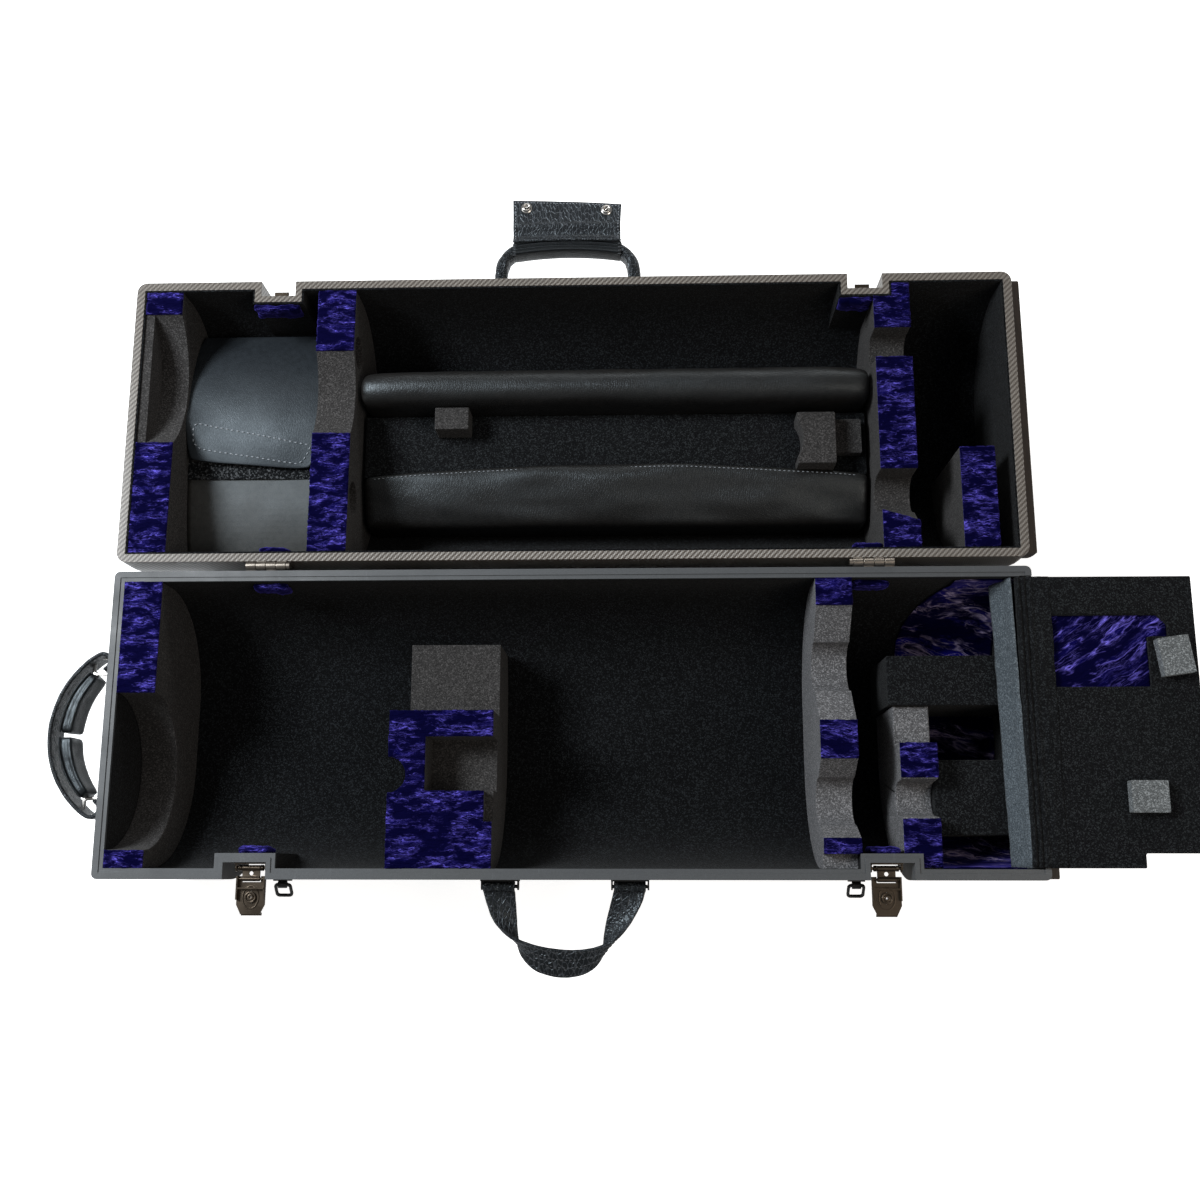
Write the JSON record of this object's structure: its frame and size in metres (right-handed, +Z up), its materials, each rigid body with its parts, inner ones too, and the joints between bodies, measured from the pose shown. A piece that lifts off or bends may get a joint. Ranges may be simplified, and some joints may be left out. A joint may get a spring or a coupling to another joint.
{
  "type": "clarinet case",
  "caption": "Hard clamshell case for clarinets, lying open: foam-blocked base with cradles, hinged compartment flap, lid with tray and leather pouch, latches, carrying handles.",
  "frame": {"origin": "middle of the flat bottom of the base half, on the surface it lies on", "axes": "+X along the case towards the end with the flap, +Y from the base towards the opened lid, +Z up"},
  "size_m": [0.983, 0.6919, 0.1363],
  "materials": {
    "base_shell_grey": "satin moulded shell, dark grey",
    "lid_shell_weave": "satin woven-look laminate, grey-brown",
    "rim_trim_dark": "moulded rim, near black",
    "lining_velour": "short velour lining, near black",
    "block_foam": "felt-covered foam, dark grey speckled",
    "velvet_violet": "crushed velvet, blue-violet",
    "board_dark": "stained board, dark brown",
    "hinge_nickel": "nickel plated",
    "fitting_nickel": "nickel plated",
    "bracket_black": "blackened steel",
    "stud_nickel": "nickel plated",
    "latch_bronze": "dull bronze-nickel plate",
    "spring_steel": "spring wire",
    "hinge_cloth": "woven hinge cloth, grey sheen",
    "flap_felt": "felt-covered panel, near black",
    "leather_black": "leather, black, satin",
    "loop_pile": "loop pile tape, dark grey"
  },
  "bodies": {
    "base": {"base_shell": "base_shell_grey", "base_lining": "lining_velour", "base_rim_trim": "rim_trim_dark", "base_end_block": "block_foam", "base_middle_block": "block_foam", "base_cradle_block": "block_foam", "base_joint_block": "block_foam", "base_block_velvet": "velvet_violet", "base_shelves": "block_foam", "base_well_velvet": "velvet_violet", "base_rivet_covers": "velvet_violet", "base_foot_board": "board_dark", "base_hinge_leaves": "hinge_nickel", "base_rivets": "hinge_nickel", "hinge_pins": "hinge_nickel", "latch_plates": "latch_bronze", "latch_pins": "latch_bronze", "latch_springs": "spring_steel", "base_brackets": "bracket_black", "flap_anchor_cloth": "hinge_cloth"},
    "lid": {"lid_shell": "lid_shell_weave", "lid_lining": "lining_velour", "lid_end_block": "block_foam", "lid_left_column": "block_foam", "lid_right_column": "block_foam", "lid_bell_block": "block_foam", "lid_block_velvet": "velvet_violet", "lid_foam_bed": "block_foam", "lid_foam_rests": "block_foam", "lid_leather_divider": "leather_black", "lid_leather_bed": "leather_black", "lid_rivet_covers": "velvet_violet", "lid_foot_board": "board_dark", "lid_hinge_leaves": "hinge_nickel", "lid_rivets": "hinge_nickel", "lid_handle_brackets": "bracket_black", "latch_catches": "latch_bronze", "pouch_panel": "leather_black", "pouch_loop_strip": "loop_pile"},
    "base_handle": {"base_handle_strap": "leather_black"},
    "side_handle": {"side_handle_grip": "leather_black", "side_handle_wraps": "leather_black", "side_handle_rings": "fitting_nickel"},
    "lid_handle": {"lid_handle_strap": "leather_black"},
    "handle_wrap": {"grip_wrap": "leather_black", "press_studs": "stud_nickel"},
    "pouch_cover": {"pouch_flap": "leather_black"},
    "compartment_flap": {"flap_panel": "flap_felt", "flap_cloth": "hinge_cloth", "flap_velvet": "velvet_violet", "flap_chips": "block_foam"},
    "link_left": {"latch_link_left": "latch_bronze"},
    "link_right": {"latch_link_right": "latch_bronze"},
    "lever_left": {"latch_lever_left": "latch_bronze", "latch_lock_left": "latch_bronze"},
    "lever_right": {"latch_lever_right": "latch_bronze", "latch_lock_right": "latch_bronze"},
    "carry_ring_left": {"strap_ring_left": "fitting_nickel"},
    "carry_ring_right": {"strap_ring_right": "fitting_nickel"}
  },
  "joints": [
    {"name": "lid_hinge", "type": "hinge", "parent": "base", "child": "lid", "pos_m": [0, 0.1352, 0.1278], "axis": [1, 0, 0], "range_deg": [0, 180]},
    {"name": "flap_hinge", "type": "hinge", "parent": "base", "child": "compartment_flap", "pos_m": [0.389, 0, 0.1225], "axis": [0, -1, 0], "range_deg": [0, 180]},
    {"name": "latch_left_link", "type": "hinge", "parent": "base", "child": "link_left", "pos_m": [-0.263, -0.1216, 0.1185], "axis": [-1, 0, 0], "range_deg": [0, 78]},
    {"name": "latch_right_link", "type": "hinge", "parent": "base", "child": "link_right", "pos_m": [0.263, -0.1216, 0.1185], "axis": [-1, 0, 0], "range_deg": [0, 78]},
    {"name": "latch_left_lever", "type": "hinge", "parent": "link_left", "child": "lever_left", "pos_m": [-0.263, -0.1306, 0.1185], "axis": [-1, 0, 0], "range_deg": [0, 12]},
    {"name": "latch_right_lever", "type": "hinge", "parent": "link_right", "child": "lever_right", "pos_m": [0.263, -0.1306, 0.1185], "axis": [-1, 0, 0], "range_deg": [0, 12]},
    {"name": "base_handle_swing", "type": "hinge", "parent": "base", "child": "base_handle", "pos_m": [-0.0015, -0.1365, 0.1095], "axis": [-1, 0, 0], "range_deg": [-45, 10]},
    {"name": "side_handle_swing", "type": "hinge", "parent": "base", "child": "side_handle", "pos_m": [-0.4002, -0.0079, 0.0875], "axis": [0, 1, 0], "range_deg": [-50, 50]},
    {"name": "lid_handle_swing", "type": "hinge", "parent": "lid", "child": "lid_handle", "pos_m": [-0.003, 0.4069, 0.1055], "axis": [-1, 0, 0], "range_deg": [-10, 60]},
    {"name": "grip_wrap_fold", "type": "hinge", "parent": "lid_handle", "child": "handle_wrap", "pos_m": [-0.003, 0.4415, 0.1193], "axis": [-1, 0, 0], "range_deg": [-150, 0]},
    {"name": "pouch_flap_lift", "type": "hinge", "parent": "lid", "child": "pouch_cover", "pos_m": [-0.29, 0.3733, 0.0683], "axis": [1, 0, 0], "range_deg": [-42, 0]},
    {"name": "strap_ring_left_swing", "type": "hinge", "parent": "base", "child": "carry_ring_left", "pos_m": [-0.241, -0.1353, 0.1015], "axis": [-1, 0, 0], "range_deg": [0, 60]},
    {"name": "strap_ring_right_swing", "type": "hinge", "parent": "base", "child": "carry_ring_right", "pos_m": [0.241, -0.1353, 0.1015], "axis": [-1, 0, 0], "range_deg": [0, 60]}
  ]
}
